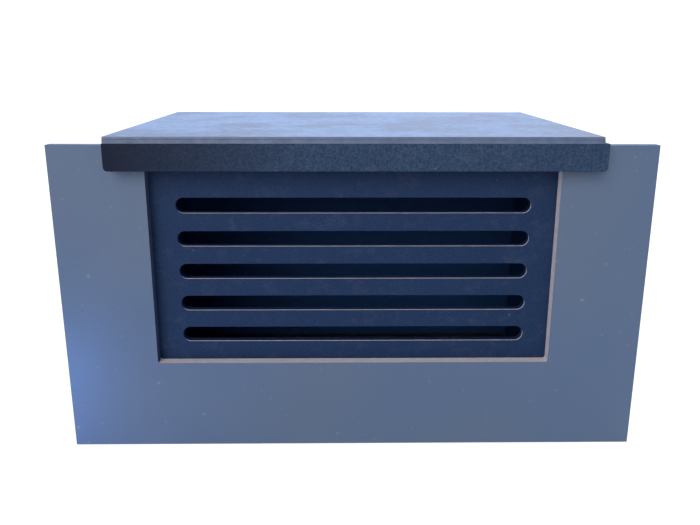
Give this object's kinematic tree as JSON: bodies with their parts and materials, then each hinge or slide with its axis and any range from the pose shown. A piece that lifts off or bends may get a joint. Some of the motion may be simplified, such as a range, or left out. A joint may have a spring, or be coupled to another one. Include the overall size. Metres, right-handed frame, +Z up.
{
  "type": "book drop box",
  "caption": "Counter book drop box: oversize front board, slotted swing-in flap in its window, rear-hinged overhanging lid with a cam lock, rubber feet.",
  "frame": {"origin": "on the standing plane under the rubber feet, below the middle of the whole object's width and depth", "axes": "+X to the right seen from the front, -Y out of the front board, +Z up"},
  "size_m": [0.6, 0.34, 0.3345],
  "materials": {
    "front_lacquer": "satin lacquer",
    "navy_texture_board": "textured laminate",
    "lid_laminate": "satin laminate",
    "flap_board": "textured laminate",
    "zinc_screw": "zinc plated",
    "zinc_bracket": "zinc plated",
    "hinge_steel": "nickel plated",
    "bright_steel": "bright ground",
    "black_rubber": "matte",
    "dark_nylon": "matte",
    "white_nylon": "matte",
    "insert_brass": "turned",
    "lock_chrome": "polished"
  },
  "bodies": {
    "carcass": {"front_board": "front_lacquer", "side_left": "navy_texture_board", "side_right": "navy_texture_board", "base_board": "navy_texture_board", "back_board": "navy_texture_board", "carcass_screws": "zinc_screw", "wing_bracket_left_upper": "zinc_bracket", "wing_bracket_left_lower": "zinc_bracket", "wing_bracket_right_upper": "zinc_bracket", "wing_bracket_right_lower": "zinc_bracket", "base_bracket_left": "zinc_bracket", "base_bracket_right": "zinc_bracket", "bracket_screws": "zinc_screw", "foot_front_left": "black_rubber", "foot_front_right": "black_rubber", "foot_rear_left": "black_rubber", "foot_rear_right": "black_rubber", "foot_screws": "zinc_screw", "threaded_inserts": "insert_brass", "landing_mat": "black_rubber", "rod_socket_left": "dark_nylon", "rod_socket_right": "dark_nylon", "socket_screws": "zinc_screw", "flap_rod": "bright_steel", "rod_collar_left": "bright_steel", "rod_collar_right": "bright_steel", "stop_pin_left": "bright_steel", "stop_pin_right": "bright_steel", "flap_buffer": "black_rubber", "lid_rest_pads": "black_rubber", "lid_stop_pads": "black_rubber", "hinge_left_fixed_leaf": "hinge_steel", "hinge_right_fixed_leaf": "hinge_steel", "hinge_left_pin": "bright_steel", "hinge_right_pin": "bright_steel", "hinge_fixed_screws": "zinc_screw", "lock_housing": "lock_chrome", "lock_nut": "lock_chrome"},
    "lid": {"lid_top_sheet": "lid_laminate", "lid_core": "lid_laminate", "lid_nosing": "navy_texture_board", "hinge_left_lid_leaf": "hinge_steel", "hinge_right_lid_leaf": "hinge_steel", "hinge_lid_screws": "zinc_screw", "lock_keeper": "zinc_bracket", "keeper_screws": "zinc_screw"},
    "flap": {"flap_panel": "flap_board", "flap_arm_left": "zinc_bracket", "flap_arm_right": "zinc_bracket", "flap_bush_left": "white_nylon", "flap_bush_right": "white_nylon", "flap_screws": "zinc_screw"},
    "lock": {"lock_plug": "lock_chrome", "lock_cam": "zinc_bracket", "cam_screw": "zinc_screw"}
  },
  "joints": [
    {"name": "lid_hinge", "type": "hinge", "parent": "carcass", "child": "lid", "pos_m": [0, 0.1448, 0.3207], "axis": [-1, 0, 0], "range_deg": [0, 105]},
    {"name": "flap_swing", "type": "hinge", "parent": "carcass", "child": "flap", "pos_m": [0, -0.119, 0.311], "axis": [1, 0, 0], "range_deg": [0, 80]},
    {"name": "lock_turn", "type": "hinge", "parent": "carcass", "child": "lock", "pos_m": [0.226, -0.0405, 0.2855], "axis": [1, 0, 0], "range_deg": [0, 90]}
  ]
}
